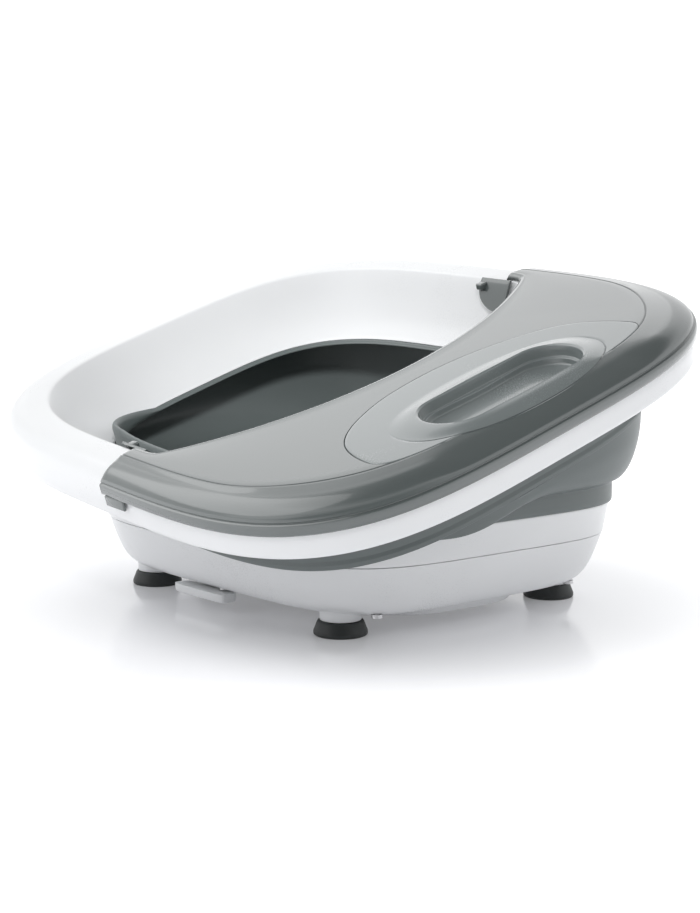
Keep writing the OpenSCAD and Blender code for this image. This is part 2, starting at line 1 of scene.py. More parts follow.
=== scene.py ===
import math
import bpy
import bmesh
import numpy as np
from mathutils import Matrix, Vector


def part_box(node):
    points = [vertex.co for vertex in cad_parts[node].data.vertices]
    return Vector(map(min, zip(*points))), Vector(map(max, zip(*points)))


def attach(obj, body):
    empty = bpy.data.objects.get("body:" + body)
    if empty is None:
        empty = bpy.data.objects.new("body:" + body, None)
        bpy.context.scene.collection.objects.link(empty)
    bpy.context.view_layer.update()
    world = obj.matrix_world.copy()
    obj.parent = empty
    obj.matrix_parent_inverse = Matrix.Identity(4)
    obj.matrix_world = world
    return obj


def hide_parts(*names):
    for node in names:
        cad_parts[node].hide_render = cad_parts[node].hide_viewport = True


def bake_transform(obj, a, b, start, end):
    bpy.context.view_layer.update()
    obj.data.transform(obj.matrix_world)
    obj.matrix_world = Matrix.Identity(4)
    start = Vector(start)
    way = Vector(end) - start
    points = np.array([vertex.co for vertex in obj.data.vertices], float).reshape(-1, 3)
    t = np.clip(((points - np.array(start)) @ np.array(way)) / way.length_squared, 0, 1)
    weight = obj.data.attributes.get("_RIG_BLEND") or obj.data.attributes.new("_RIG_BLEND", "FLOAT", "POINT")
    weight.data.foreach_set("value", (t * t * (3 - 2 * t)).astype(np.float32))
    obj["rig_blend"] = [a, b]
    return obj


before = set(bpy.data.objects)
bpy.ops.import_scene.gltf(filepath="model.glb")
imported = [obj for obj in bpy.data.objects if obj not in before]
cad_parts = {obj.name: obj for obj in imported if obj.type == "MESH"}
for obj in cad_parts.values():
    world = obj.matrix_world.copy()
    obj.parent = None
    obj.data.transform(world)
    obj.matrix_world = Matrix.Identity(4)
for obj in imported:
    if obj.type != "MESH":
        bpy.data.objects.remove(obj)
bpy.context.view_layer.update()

# ---------------------------------------------------------------- dimensions, in millimetres
band_lo, band_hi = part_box("base_band")
BASE = np.array([(band_lo.x + band_hi.x) / 2, (band_lo.y + band_hi.y) / 2, 0.0]) * 1000
BASE_HW, BASE_HL, BASE_N = 139.8, 167.8, 4.5
BASE_TOP, SEAM_Z, PAN_Z, FLOOR_Z = 73.0, 51.0, 14.0, 47.0
FOOT_X, FOOT_Y, FOOT_R, FOOT_H, POST_R = 96.3, 108.7, 18.0, 10.0, 14.0
RIM_HW, RIM_HL, RIM_N, RIM_TAPER = 200.0, 234.5, 3.6, 0.055
TILT, TURN = math.radians(18.97), math.radians(12.2)
RIM_C = BASE + np.array([-8.6, 8.9, 139.15])
RING_INSET, RING_H, SKIN, COLLAR_H = 33.0, 27.0, 0.9, 14.0
GUARD_H, GUARD_LOW, ARC_R, ARC_X, ARC_Y = 37.4, 17.0, 305.0, 5.0, 222.0
LEFT_END, RIGHT_END = 5.0, 22.0
SLOT_X, SLOT_Y, SLOT_R, SLOT_C = 5.0, -180.0, 25.0, 41.0
ROLLER_R, ROLLER_L, ROLLER_X, ROLLER_Y, AXLE_Z = 14.0, 72.0, 54.0, 22.0, 63.0
BUTTON_Y = -112.0

V_AXIS = np.array([math.sin(TURN), -math.cos(TURN), 0.0])


def smooth(t):
    t = np.clip(t, 0, 1)
    return t * t * (3 - 2 * t)


def mix(a, b, t):
    return a + (b - a) * t


def to_world(p):
    """Rim frame to row frame, both in mm."""
    p = np.asarray(p, float)
    c, s = math.cos(TILT), math.sin(TILT)
    along = (p @ V_AXIS)[..., None] * V_AXIS
    return p * c + np.cross(np.broadcast_to(V_AXIS, p.shape), p) * s + along * (1 - c) + RIM_C


def unit_outline(count, n, w, l):
    """Points of the unit superellipse, evenly spaced along the w by l outline, from +X turning to +Y."""
    th = np.linspace(0, 2 * math.pi, 7201)
    c, s = np.cos(th), np.sin(th)
    r = (np.abs(c) ** n + np.abs(s) ** n) ** (-1 / n)
    u = np.stack([r * c, r * s], 1)
    d = np.hypot(np.diff(u[:, 0] * w), np.diff(u[:, 1] * l))
    run = np.concatenate([[0], np.cumsum(d)])
    want = np.linspace(0, run[-1], count, endpoint=False)
    return np.stack([np.interp(want, run, u[:, 0]), np.interp(want, run, u[:, 1])], 1)


def rim_xy(u, i):
    u = np.asarray(u, float)
    return np.stack([(RIM_HW - i) * u[..., 0] * (1 - RIM_TAPER * u[..., 1]), (RIM_HL - i) * u[..., 1]], -1)


def base_xy(u, i):
    u = np.asarray(u, float)
    return np.stack([(BASE_HW - i) * u[..., 0], (BASE_HL - i) * u[..., 1]], -1) + BASE[:2]


# ---------------------------------------------------------------- curves
def spline(points, sub, closed=False):
    """Centripetal curve through the points, sub steps on each segment."""
    p = np.asarray(points, float)
    k = len(p)
    idx = range(k if closed else k - 1)
    out = []
    for i in idx:
        if closed:
            p0, p1, p2, p3 = p[(i - 1) % k], p[i], p[(i + 1) % k], p[(i + 2) % k]
        else:
            p1, p2 = p[i], p[i + 1]
            p0 = p[i - 1] if i > 0 else 2 * p1 - p2
            p3 = p[i + 2] if i + 2 < k else 2 * p2 - p1
        t1 = max(np.linalg.norm(p1 - p0), 1e-6) ** 0.5
        t2 = t1 + max(np.linalg.norm(p2 - p1), 1e-6) ** 0.5
        t3 = t2 + max(np.linalg.norm(p3 - p2), 1e-6) ** 0.5
        for q in range(sub):
            t = mix(t1, t2, q / sub)
            a1 = p0 * (t1 - t) / t1 + p1 * t / t1
            a2 = p1 * (t2 - t) / (t2 - t1) + p2 * (t - t1) / (t2 - t1)
            a3 = p2 * (t3 - t) / (t3 - t2) + p3 * (t - t2) / (t3 - t2)
            b1 = a1 * (t2 - t) / t2 + a2 * t / t2
            b2 = a2 * (t3 - t) / (t3 - t1) + a3 * (t - t1) / (t3 - t1)
            out.append(b1 * (t2 - t) / (t2 - t1) + b2 * (t - t1) / (t2 - t1))
    if not closed:
        out.append(p[-1])
    return np.array(out)


def fillet(points, radii, seg=5, closed=False):
    """Polyline with rounded corners; a radius of 0 keeps the corner."""
    p = [np.asarray(q, float) for q in points]
    k = len(p)
    out = []
    for i in range(k):
        r = radii[i] if hasattr(radii, "__len__") else radii
        if (not closed and i in (0, k - 1)) or r <= 0:
            out.append(p[i])
            continue
        a, b, c = p[(i - 1) % k], p[i], p[(i + 1) % k]
        u, v = a - b, c - b
        lu, lv = np.linalg.norm(u), np.linalg.norm(v)
        u, v = u / lu, v / lv
        ang = math.acos(max(-1, min(1, float(u @ v))))
        if ang > math.pi - 0.02:
            out.append(b)
            continue
        t = min(r / math.tan(ang / 2), lu * 0.49, lv * 0.49)
        rr = t * math.tan(ang / 2)
        bis = (u + v) / np.linalg.norm(u + v)
        centre = b + bis * rr / math.sin(ang / 2)
        s, e = b + u * t - centre, b + v * t - centre
        om = math.acos(max(-1, min(1, float(s @ e) / (rr * rr))))
        for q in range(seg + 1):
            f = q / seg
            out.append(centre + (s * math.sin((1 - f) * om) + e * math.sin(f * om)) / math.sin(om))
    return np.array(out)


# ---------------------------------------------------------------- meshes
def mesh_of(name, verts_mm, faces, sharp=35, mat=None):
    me = bpy.data.meshes.new(name)
    me.from_pydata((np.asarray(verts_mm, float) / 1000).tolist(), [], faces)
    bm = bmesh.new()
    bm.from_mesh(me)
    bmesh.ops.remove_doubles(bm, verts=bm.verts, dist=1e-6)
    bmesh.ops.dissolve_degenerate(bm, edges=bm.edges, dist=1e-7)
    bmesh.ops.recalc_face_normals(bm, faces=bm.faces)
    bm.to_mesh(me)
    bm.free()
    ob = bpy.data.objects.new(name, me)
    bpy.context.scene.collection.objects.link(ob)
    shade(ob, sharp)
    if mat:
        ob.data.materials.append(mat)
    return ob


def shade(ob, sharp=35):
    for p in ob.data.polygons:
        p.use_smooth = True
    ob.data.set_sharp_from_angle(angle=math.radians(sharp))


def grid_faces(m, n, close_u=True, close_v=False, start=0):
    """Quads of m rows by n columns; u runs along a row, v from row to row."""
    out = []
    for j in range(m if close_v else m - 1):
        for i in range(n if close_u else n - 1):
            a, b = j * n + i, j * n + (i + 1) % n
            c, d = ((j + 1) % m) * n + (i + 1) % n, ((j + 1) % m) * n + i
            out.append((start + a, start + b, start + c, start + d))
    return out


def band(name, rows, mat, sharp=35, close_v=True):
    """Ring-shaped solid from rows of points, each row once round."""
    rows = np.asarray(rows, float)
    m, n, _ = rows.shape
    return mesh_of(name, rows.reshape(-1, 3), grid_faces(m, n, True, close_v), sharp, mat)


def cup(name, rows, mat, sharp=35):
    """Rows from the underside's middle round the edge to the inside floor, closed by a fan at both ends."""
    rows = np.asarray(rows, float)
    m, n, _ = rows.shape
    verts = rows.reshape(-1, 3).tolist()
    faces = grid_faces(m, n, True, False)
    for row, rev in ((0, True), (m - 1, False)):
        c = len(verts)
        verts.append(rows[row].mean(0).tolist())
        for i in range(n):
            a, b = row * n + i, row * n + (i + 1) % n
            faces.append((b, a, c) if rev else (a, b, c))
    return mesh_of(name, verts, faces, sharp, mat)


def lathe(profile, seg=96):
    """Rows of a turned shape about +Z: profile is (radius, height) in mm."""
    th = np.linspace(0, 2 * math.pi, seg, endpoint=False)
    return np.array([[(r * math.cos(t), r * math.sin(t), z) for t in th] for r, z in profile])


def modify(ob, kind, **settings):
    mod = ob.modifiers.new(kind.lower(), kind)
    for k, v in settings.items():
        setattr(mod, k, v)
    return mod


def bake_modifiers(ob, sharp=35):
    dg = bpy.context.evaluated_depsgraph_get()
    me = bpy.data.meshes.new_from_object(ob.evaluated_get(dg), depsgraph=dg)
    old = ob.data
    ob.modifiers.clear()
    ob.data = me
    bpy.data.meshes.remove(old)
    shade(ob, sharp)


def join(obs, name):
    bm = bmesh.new()
    mats = []
    for o in obs:
        off = []
        for m in o.data.materials:
            if m not in mats:
                mats.append(m)
            off.append(mats.index(m))
        start = len(bm.faces)
        bm.from_mesh(o.data)
        bm.faces.ensure_lookup_table()
        for f in bm.faces[start:]:
            f.material_index = off[f.material_index] if off else 0
    me = bpy.data.meshes.new(name)
    bm.to_mesh(me)
    bm.free()
    for o in obs:
        bpy.data.objects.remove(o)
    ob = bpy.data.objects.new(name, me)
    bpy.context.scene.collection.objects.link(ob)
    for m in mats:
        me.materials.append(m)
    shade(ob)
    return ob


# ---------------------------------------------------------------- materials
def moulded(name, color, rough, var=0.04, grain=900.0, bump=0.06, coat=0.0, spec=0.5, metal=0.0,
            stretch=(1, 1, 1),
            rough_var=0.16, glow=0.0):
    """Procedural surface: slight cloudiness in colour, roughness variation and a fine moulded grain."""
    mat = bpy.data.materials.new(name)
    mat.use_nodes = True
    nt = mat.node_tree
    bsdf = next(n for n in nt.nodes if n.type == "BSDF_PRINCIPLED")
    bsdf.inputs["Specular IOR Level"].default_value = spec
    bsdf.inputs["Metallic"].default_value = metal
    bsdf.inputs["Coat Weight"].default_value = coat
    bsdf.inputs["Coat Roughness"].default_value = 0.08
    coord = nt.nodes.new("ShaderNodeTexCoord")
    scale = nt.nodes.new("ShaderNodeMapping")
    scale.inputs["Scale"].default_value = stretch
    nt.links.new(coord.outputs["Object"], scale.inputs["Vector"])
    cloud = nt.nodes.new("ShaderNodeTexNoise")
    cloud.inputs["Scale"].default_value = 9.0
    cloud.inputs["Detail"].default_value = 3.0
    nt.links.new(scale.outputs["Vector"], cloud.inputs["Vector"])
    fine = nt.nodes.new("ShaderNodeTexNoise")
    fine.inputs["Scale"].default_value = grain
    fine.inputs["Detail"].default_value = 2.0
    nt.links.new(scale.outputs["Vector"], fine.inputs["Vector"])
    ramp = nt.nodes.new("ShaderNodeValToRGB")
    c = np.array(color, float)
    ramp.color_ramp.elements[0].color = (*np.clip(c * (1 - var), 0, 1), 1)
    ramp.color_ramp.elements[1].color = (*np.clip(c * (1 + var), 0, 1), 1)
    ramp.color_ramp.elements[0].position = 0.3
    ramp.color_ramp.elements[1].position = 0.7
    nt.links.new(cloud.outputs["Fac"], ramp.inputs["Fac"])
    nt.links.new(ramp.outputs["Color"], bsdf.inputs["Base Color"])
    rr = nt.nodes.new("ShaderNodeMapRange")
    rr.inputs["From Min"].default_value = 0.3
    rr.inputs["From Max"].default_value = 0.7
    rr.inputs["To Min"].default_value = rough * (1 - rough_var)
    rr.inputs["To Max"].default_value = min(1.0, rough * (1 + rough_var))
    both = nt.nodes.new("ShaderNodeMath")
    both.operation = "MULTIPLY_ADD"
    both.inputs[1].default_value = 0.35
    nt.links.new(fine.outputs["Fac"], both.inputs[0])
    scaled = nt.nodes.new("ShaderNodeMath")
    scaled.operation = "MULTIPLY"
    scaled.inputs[1].default_value = 0.65
    nt.links.new(cloud.outputs["Fac"], scaled.inputs[0])
    nt.links.new(scaled.outputs[0], both.inputs[2])
    nt.links.new(both.outputs[0], rr.inputs["Value"])
    nt.links.new(rr.outputs["Result"], bsdf.inputs["Roughness"])
    bmp = nt.nodes.new("ShaderNodeBump")
    bmp.inputs["Strength"].default_value = bump
    bmp.inputs["Distance"].default_value = 0.0002
    nt.links.new(fine.outputs["Fac"], bmp.inputs["Height"])
    nt.links.new(bmp.outputs["Normal"], bsdf.inputs["Normal"])
    if glow:
        bsdf.inputs["Emission Color"].default_value = (1, 1, 1, 1)
        bsdf.inputs["Emission Strength"].default_value = glow
    return mat


WHITE = moulded("white_shell", (0.83, 0.84, 0.85), 0.30, var=0.012, grain=1400, bump=0.03, coat=0.25)
GUARD = moulded("grey_guard", (0.100, 0.116, 0.115), 0.22, var=0.03, grain=1500, bump=0.03, coat=0.85,
                spec=0.7)
LENS = moulded("light_grey", (0.185, 0.208, 0.208), 0.25, var=0.03, grain=1500, bump=0.03, coat=0.7, spec=0.6)
SOFT = moulded("soft_grey", (0.132, 0.153, 0.152), 0.42, var=0.05, grain=1100, bump=0.10, coat=0.1)
TUBM = moulded("tub_grey", (0.17, 0.198, 0.198), 0.36, var=0.04, grain=1100, bump=0.06, coat=0.15)
RUBBER = moulded("black_rubber", (0.026, 0.03, 0.03), 0.5, var=0.1, grain=900, bump=0.15)
STEEL = moulded("steel", (0.62, 0.62, 0.63), 0.32, var=0.05, grain=700, bump=0.05, metal=1.0,
                stretch=(1, 1, 6))
ALU = moulded("aluminium", (0.76, 0.76, 0.77), 0.34, var=0.05, grain=500, bump=0.08, metal=1.0,
              stretch=(8, 1, 1))
CAN = moulded("motor_metal", (0.5, 0.5, 0.51), 0.35, var=0.06, grain=500, bump=0.06, metal=1.0,
              stretch=(8, 1, 1))
BLACK = moulded("black_plastic", (0.02, 0.021, 0.022), 0.45, var=0.1, grain=900, bump=0.12)
BOARD = moulded("board", (0.02, 0.16, 0.06), 0.4, var=0.25, grain=260, bump=0.12)


def done(ob, body, slot, *nodes):
    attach(ob, body)
    if nodes:
        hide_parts(*nodes)
    return ob


# ---------------------------------------------------------------- rim
N_RIM = 360
RU = unit_outline(N_RIM, RIM_N, RIM_HW, RIM_HL)


def saddle(u):
    p = rim_xy(u, 0)
    return np.where(p[..., 1] > 0, 0.0, smooth((118 - np.abs(p[..., 0] - SLOT_X)) / 40))


def saddle_drop(i, h):
    return 12.5 * smooth((i - 3) / 12) * smooth((h - 8) / 16)


RIM_LINE = [
    [0, 0], [-0.6, 6], [-0.5, 13], [0.7, 19], [3.7, 26], [8.6, 31], [15, 33.2], [23, 33.3], [29.4, 32.9],
    [31.4, 32.2], [32.8, 30.6], [36.6, 24.8], [45, 11], [54, -1.6], [64, -12.2], [66, -14],
    [63.8, -14.6], [51.2, -3.6], [42.4, 9.6], [34.8, 22.4], [30, 28.6], [22.6, 30.6], [16, 30.6],
    [10.6, 28.8], [6.2, 24.4], [3.3, 18], [2.1, 12], [2, 6], [2.6, 0]]


def rim_row(i, h):
    xy = rim_xy(RU, i)
    z = h - saddle(RU) * saddle_drop(i, h)
    return to_world(np.concatenate([xy, np.broadcast_to(z, (N_RIM,))[:, None]], 1))


line = spline(RIM_LINE, 5, closed=True)
rim = band("rim", [rim_row(i, h) for i, h in line], WHITE, 50)
done(rim, "rim", "white_shell", "rim_frame")

# ---------------------------------------------------------------- splash guard
def guard_outline(count):
    """Unit outline points from the left end round the toe to the right end, and how far along each is."""
    th = np.linspace(math.pi + LEFT_END / RIM_HL, 2 * math.pi - RIGHT_END / RIM_HL, 6001)
    c, s = np.cos(th), np.sin(th)
    r = (np.abs(c) ** RIM_N + np.abs(s) ** RIM_N) ** (-1 / RIM_N)
    u = np.stack([r * c, r * s], 1)
    p = rim_xy(u, 0)
    run = np.concatenate([[0], np.cumsum(np.hypot(*np.diff(p, axis=0).T))])
    want = np.linspace(0, run[-1], count)
    return np.stack([np.interp(want, run, u[:, 0]), np.interp(want, run, u[:, 1])], 1), want


G_COUNT = 421
GU, G_RUN = guard_outline(G_COUNT)
G_MID = float(np.interp(0, GU[:, 0], G_RUN))
G_FROM_END = np.minimum(G_RUN, G_RUN[-1] - G_RUN)
G_SIDE = np.where(G_RUN <= G_MID, -1.0, 1.0)
ARC_X0 = 169.0
START = 23.0


def arc_line(x):
    return ARC_Y - np.sqrt(ARC_R ** 2 - (x - ARC_X) ** 2)


def guard_front(u):
    return smooth((-rim_xy(u, 0)[..., 1] - 120) / 90)


def crease_inset(u):
    return mix(18.0, 24.0, guard_front(u))


def guard_inner():
    """Inner edge of the guard for each outline station."""
    out = np.zeros((G_COUNT, 2))
    for k in range(G_COUNT):
        e, s = G_FROM_END[k], G_SIDE[k]
        start = START if s < 0 else START - 9
        half = G_MID if s < 0 else G_RUN[-1] - G_MID
        x = s * ARC_X0 * (1 - max(0.0, (e - start) / (half - start)))
        out[k] = mix(rim_xy(GU[k], 31.0), [x, arc_line(x)], smooth((e - start + 10) / 20))
    return out


G_IN = guard_inner()
# ease the run along the inner edge
for _ in range(12):
    G_IN[1:-1] = (G_IN[:-2] + 2 * G_IN[1:-1] + G_IN[2:]) / 4

END_R = 3.6


def roll_line(u, c):
    """Inset and height of the roll, from bead to crease; it falls faster over the toe end's saddle."""
    low = float(saddle(u))
    return [[-2.3, GUARD_LOW + 8.8], [-1.3, mix(28.4, 27.6, low)], [1.6, mix(31.2, 29.4, low)],
            [5.4, mix(33.4, 31.3, low)],
            [9.6, mix(34.9, 33.1, low)], [mix(13.2, 15.0, (c - 18) / 6), mix(35.9, 35.2, low)],
            [c - 1.0, GUARD_H - 0.15]]


def guard_station(k):
    u = GU[k]
    c = float(crease_inset(u))
    crease = rim_xy(u, c)
    to_in = G_IN[k] - crease
    reach = max(float(np.hypot(*to_in)), 0.01)
    d = to_in / reach

    def outl(i, h):
        p = rim_xy(u, i)
        return [p[0], p[1], h]

    def on(dist, h):
        q = crease + d * dist
        return [q[0], q[1], h]

    lo = GUARD_LOW
    skirt = [outl(-1.4, lo), outl(-3.2, lo - 0.1), outl(-3.9, lo + 0.8), outl(-4.0, lo + 3.5),
             outl(-3.9, lo + 6.4),
             outl(-3.6, lo + 7.2), outl(-2.7, lo + 7.7), outl(-2.15, lo + 7.9), outl(-2.1, lo + 8.4)]
    roll_pts = spline([outl(i, h) for i, h in roll_line(u, c)], 7)
    wide = max(reach, 3.0)
    groove = [on(-0.75, GUARD_H - 0.15), on(-0.45, GUARD_H - 0.5), on(0.0, GUARD_H - 0.95),
              on(0.45, GUARD_H - 0.5),
              on(0.8, GUARD_H - 0.1), on(1.5, GUARD_H)]
    crown = 0.35 * math.sin(math.pi * min(1, wide / 120)) if wide < 120 else 0.0
    bead = min(6.5, wide * 0.35)
    panel = [on(1.5 + (wide - bead - 1.5) * t,
                GUARD_H + crown * math.sin(math.pi * t)) for t in np.linspace(0.06, 1, 16)]
    drop = 1.7 if wide > 15 else 1.0
    edge = spline([on(wide - bead, GUARD_H), on(wide - bead * 0.85, GUARD_H + 0.1),
                   on(wide - bead * 0.45, GUARD_H - drop * 0.35),
                   on(wide - 0.9, GUARD_H - drop), on(wide - 0.1, GUARD_H - drop - 0.9),
                   on(wide, GUARD_H - drop - 2.0),
                   on(wide, max(33.6, GUARD_H - 5.0))], 4)[1:]
    pts = np.array([*skirt, *roll_pts.tolist(), *groove, *panel, *edge.tolist()])
    e = G_FROM_END[k]
    if e < END_R:
        pts[:, 2] -= (1 - math.sqrt(max(0.0, 1 - ((END_R - e) / END_R) ** 2))) * 2.4 * smooth((pts[:,
                2] - 24) / 8)
    return pts


stations = np.array([guard_station(k) for k in range(G_COUNT)])
S_, P_, _ = stations.shape
guard = mesh_of("splash_guard_shell", to_world(stations).reshape(-1, 3), grid_faces(S_, P_, False, False),
                60, GUARD)
# keep the outer side outwards, then give the moulding its wall
up = sum((p.normal.z * p.area for p in guard.data.polygons))
if up < 0:
    guard.data.flip_normals()
modify(guard, "SOLIDIFY", thickness=0.0022, offset=-1.0, use_even_offset=False)
bake_modifiers(guard, 50)

# ---------------------------------------------------------------- handle pocket, bezel and lens
PHI = np.linspace(0, 2 * math.pi, 361)[:-1]


def stadium(r, c):
    """Ray distance from the slot's centre to a stadium outline, for each direction."""
    out = np.zeros(len(PHI))
    for k, t in enumerate(PHI):
        cx, sy = math.cos(t), math.sin(t)
        if abs(sy) > 1e-9 and abs(cx / sy) * r <= c:
            out[k] = r / abs(sy)
        else:
            sgn = 1 if cx > 0 else -1
            b = cx * sgn * c
            out[k] = b + math.sqrt(max(0.0, b * b - c * c + r * r))
    return out


def oval(hx, hy, n, cx, cy):
    """Ray distance to a superellipse whose centre is off the slot's centre by cx, cy."""
    out = np.zeros(len(PHI))
    for k, t in enumerate(PHI):
        lo, hi = 0.0, 400.0
        for _ in range(48):
            m = (lo + hi) / 2
            x, y = m * math.cos(t) - cx, m * math.sin(t) - cy
            if (abs(x) / hx) ** n + (abs(y) / hy) ** n < 1:
                lo = m
            else:
                hi = m
        out[k] = lo
    return out


def ray_polygon(poly):
    """Ray distance from the slot's centre to a closed outline given in the rim frame."""
    q = np.asarray(poly, float) - np.array([SLOT_X, SLOT_Y])
    ang = np.mod(np.arctan2(q[:, 1], q[:, 0]), 2 * math.pi)
    rad = np.hypot(q[:, 0], q[:, 1])
    a3 = np.concatenate([ang - 2 * math.pi, ang, ang + 2 * math.pi])
    r3 = np.concatenate([rad, rad, rad])
    o = np.argsort(a3)
    return np.interp(PHI, a3[o], r3[o])


def inset_of(x, y):
    """Inset of a plan point from the rim's outline."""
    lo, hi = np.full(np.shape(x), -20.0), np.full(np.shape(x), 190.0)
    for _ in range(40):
        m = (lo + hi) / 2
        uy = y / (RIM_HL - m)
        ux = x / ((RIM_HW - m) * (1 - RIM_TAPER * uy))
        inside = np.abs(ux) ** RIM_N + np.abs(uy) ** RIM_N < 1
        lo = np.where(inside, m, lo)
        hi = np.where(inside, hi, m)
    return lo


def guard_height(x, y):
    """Height of the guard's top skin over a plan point at the toe end."""
    i = inset_of(x, y)
    ln = spline([*roll_line(np.array([SLOT_X / RIM_HW, -1.0]), 24.0), [24.5, GUARD_H], [300.0, GUARD_H]], 7)
    return np.interp(i, ln[:, 0], ln[:, 1])


LENS_TOP = spline([[-119, -202], [-118.5, -190], [-115.5, -170], [-106, -149], [-90, -134.6], [-66, -122.7],
                   [-39.5, -114.8],
                   [1, -111.3], [34, -114.3], [60, -120.8], [83, -129.8], [98.6, -139], [110.7, -151.5],
                   [120, -172], [125.5, -197],
                   [126, -206]], 8)
front_u = unit_outline(3000, RIM_N, RIM_HW, RIM_HL)
crease_pts = np.array([rim_xy(u, float(crease_inset(u)) - 0.4) for u in front_u if u[1] < 0])
crease_pts = crease_pts[(crease_pts[:, 0] > -118) & (crease_pts[:, 0] < 125) & (crease_pts[:, 1] < -150)]
crease_pts = crease_pts[np.argsort(-crease_pts[:, 0])]
lens_closed = np.concatenate([LENS_TOP, crease_pts])
R_LENS = ray_polygon(lens_closed)
R_BEZ = oval(87.5, 41.5, 2.35, -2.5, 0.5)
R_SLOT = stadium(SLOT_R, SLOT_C)
kern = np.array([1, 4, 6, 4, 1]) / 16.0


def ease_ring(r, times):
    for _ in range(times):
        r = sum(kern[j] * np.roll(r, j - 2) for j in range(5))
    return r


R_LENS = ease_ring(R_LENS, 3)
R_OUT = np.maximum(R_LENS, R_BEZ + 1.2)
R_OUT = ease_ring(R_OUT, 4)
DIRS = np.stack([np.cos(PHI), np.sin(PHI)], 1)


def pocket_xy(r):
    return DIRS * r[:, None] + np.array([SLOT_X, SLOT_Y])


def bezel_top(r):
    """Height of the lens and bezel skin at ray distance r."""
    xy = pocket_xy(r)
    under = guard_height(xy[:, 0], xy[:, 1])
    t = np.clip((r - R_SLOT) / np.maximum(R_BEZ - R_SLOT, 1.0), 0, 1)
    low = under + 0.15
    lip = GUARD_H + 2.6
    rise = 1 - smooth(t)
    return mix(low, lip, rise ** 0.85)


rows = []
floor_h = 27.6
for s in (0.0, 0.25, 0.5, 0.75, 0.9):
    r = (R_SLOT - 7.0) * s
    rows.append((r, np.full(len(PHI), floor_h)))
wall = fillet([[7.0, floor_h], [4.4, floor_h], [3.6, 31.6], [1.2, 32.2], [0.6, 36.2], [0.0, GUARD_H + 1.9],
               [-1.6, GUARD_H + 2.7]],
              [0, 1.6, 0.8, 0.9, 1.5, 0.9, 0], 5)
for ins, h in wall:
    rows.append((R_SLOT - ins, np.full(len(PHI), h)))
ring_t = np.concatenate([np.linspace(0.08, 0.97, 22)])
for t in ring_t:
    r = mix(R_SLOT + 1.6, R_BEZ, t)
    rows.append((r, bezel_top(r)))
# fine line round the bezel's ends and front
for off, dep in ((-0.9, 0.0), (-0.45, 0.35), (0.0, 0.75), (0.45, 0.35), (0.9, 0.0)):
    r = R_BEZ + off
    line_w = smooth((-np.sin(PHI) + 0.25) / 0.5) * (1 - 0.6 * smooth((-np.sin(PHI) - 0.75) / 0.2))
    rows.append((r, bezel_top(r) - dep * line_w))
for t in np.linspace(0.06, 1, 16):
    r = mix(R_BEZ + 0.9, np.maximum(R_OUT - 0.9, R_BEZ + 1.0), t)
    rows.append((r, bezel_top(r)))
edge_h = bezel_top(R_OUT)
rows.append((R_OUT - 0.45, edge_h - 0.12))
rows.append((R_OUT - 0.12, edge_h - 0.4))
rows.append((R_OUT, edge_h - 0.9))
rows.append((R_OUT, edge_h - 2.2))
under_rows = [(R_OUT - 0.6, edge_h - 2.6), (mix(R_SLOT, R_OUT, 0.5), edge_h - 3.4),
              (R_SLOT + 2.6, np.full(len(PHI), 34.0)),
              (R_SLOT + 1.8, np.full(len(PHI), 31.0)), (R_SLOT + 1.2, np.full(len(PHI), 26.0)),
              (R_SLOT - 4.0, np.full(len(PHI), 25.8))]
rows += under_rows
pk = []
for r, h in rows:
    xy = pocket_xy(r)
    pk.append(np.concatenate([xy, h[:, None]], 1))
pk = np.array(pk)
centre_top = to_world(np.array([[SLOT_X, SLOT_Y, floor_h]]))[0]
verts = to_world(pk).reshape(-1, 3).tolist()
m_, n_ = pk.shape[0], pk.shape[1]
faces = grid_faces(m_, n_, True, False)
faces = faces[n_:]  # the innermost ring is a fan instead
c0 = len(verts)
verts.append(centre_top.tolist())
for i in range(n_):
    faces.append((n_ + (i + 1) % n_, n_ + i, c0))
c1 = len(verts)
verts.append(to_world(np.array([[SLOT_X, SLOT_Y, 25.8]]))[0].tolist())
last = (m_ - 1) * n_
for i in range(n_):
    faces.append((last + i, last + (i + 1) % n_, c1))
used = sorted({v for f in faces for v in f})
remap = {v: i for i, v in enumerate(used)}
pocket = mesh_of("handle_pocket_lens", np.array(verts)[used], [tuple(remap[v] for v in f) for f in faces],
                 38, LENS)
done(pocket, "guard", "light_grey", "handle_pocket")

# the guard is cut away under the lens
cut_r = np.where(R_LENS >= R_BEZ + 1.2, R_OUT + 0.75, R_BEZ - 3.5)
cut_r = ease_ring(cut_r, 2)
cut_xy = pocket_xy(cut_r)
cut_rows = np.array([np.concatenate([cut_xy, np.full((len(PHI), 1), h)], 1) for h in (28.0, 46.0)])
cutter = cup("guard_cutter", to_world(cut_rows), None)
mod = modify(guard, "BOOLEAN", operation="DIFFERENCE", object=cutter, solver="MANIFOLD")
bake_modifiers(guard, 40)
bpy.data.objects.remove(cutter)
done(guard, "guard", "grey_guard", "splash_guard")

# ---------------------------------------------------------------- stiff ring and bellows
RING_LINE = fillet([[32.2, -28.5], [32.2, -25.5], [33, -23.0], [33, -1.5], [36, -1.5], [36, -28.5]],
                   [0.9, 0.8, 1.0, 0.9, 0.9, 0.9], 4, True)
ring_rows = [to_world(np.concatenate([rim_xy(RU, i), np.full((N_RIM, 1), h)], 1)) for i, h in RING_LINE]
ring = band("fold_ring", ring_rows, SOFT, 50)
done(ring, "ring", "soft_grey", "middle_ring")

N_B = 320
BU = unit_outline(N_B, BASE_N, BASE_HW, BASE_HL)


